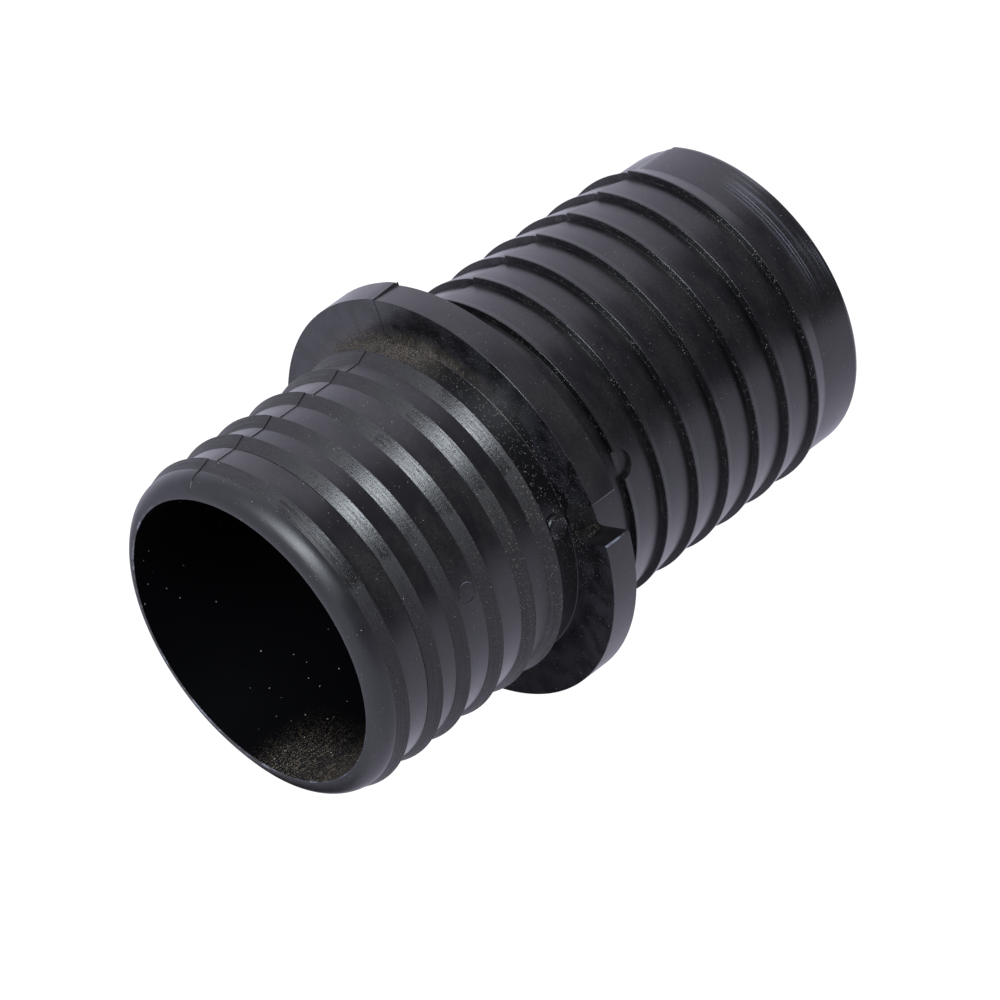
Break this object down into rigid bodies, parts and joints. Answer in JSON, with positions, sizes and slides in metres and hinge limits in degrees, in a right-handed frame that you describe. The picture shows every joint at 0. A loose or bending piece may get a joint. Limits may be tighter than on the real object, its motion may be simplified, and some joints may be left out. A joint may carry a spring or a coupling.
{
  "type": "lay-flat hose connector",
  "caption": "One-piece moulded tube with a ribbed shank for lay-flat hose, a notched flange in the middle and a barbed shank for a second hose.",
  "frame": {"origin": "centre of the barbed shank's end face, which the part stands on", "axes": "+Z along the tube's axis towards the mouth of the lay-flat hose shank; the mould's parting plane is XZ and the flange's notch faces -Y"},
  "size_m": [0.0632, 0.0631, 0.0991],
  "materials": {
    "black_plastic": "satin moulded, scuffed on the ribs"
  },
  "bodies": {
    "root": {"hose_connector": "black_plastic"}
  },
  "joints": []
}
